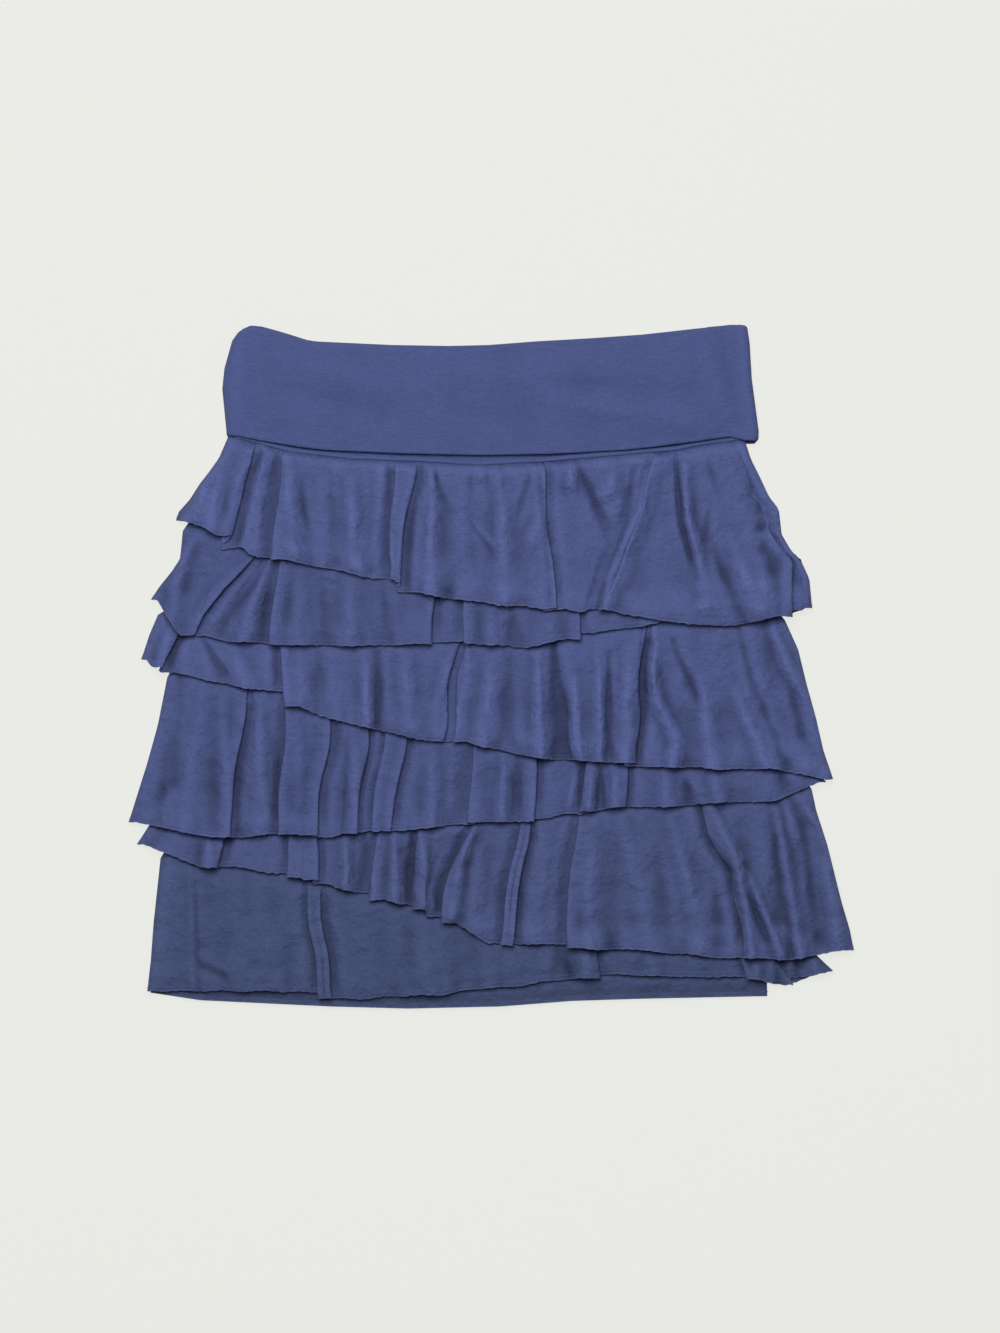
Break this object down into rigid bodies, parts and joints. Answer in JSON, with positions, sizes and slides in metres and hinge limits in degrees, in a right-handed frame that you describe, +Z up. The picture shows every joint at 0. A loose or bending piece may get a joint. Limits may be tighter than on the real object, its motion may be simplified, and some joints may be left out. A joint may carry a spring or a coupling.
{
  "type": "tiered ruffle mini skirt",
  "caption": "Plain jersey mini skirt with a fold-over waistband and sloping pleated ruffle tiers, laid flat on its back.",
  "frame": {"origin": "centre of the laid-out skirt, on the surface it rests on", "axes": "+X across the skirt, +Y from the hem to the waist, +Z up from the surface, out of the front"},
  "size_m": [0.522, 0.4921, 0.0204],
  "materials": {
    "waistband_jersey": "matt knitted jersey",
    "tier_jersey": "matt knitted jersey with a raw overlocked hem",
    "base_jersey": "matt knitted jersey"
  },
  "bodies": {
    "root": {"waistband": "waistband_jersey", "base_front": "base_jersey", "base_back": "base_jersey", "tier_1_front": "tier_jersey", "tier_1_back": "tier_jersey", "tier_2_front": "tier_jersey", "tier_2_back": "tier_jersey", "tier_3_front": "tier_jersey", "tier_3_back": "tier_jersey", "tier_4_front": "tier_jersey", "tier_4_back": "tier_jersey", "tier_5_front": "tier_jersey", "tier_5_back": "tier_jersey", "tier_6_front": "tier_jersey", "tier_6_back": "tier_jersey"}
  },
  "joints": []
}
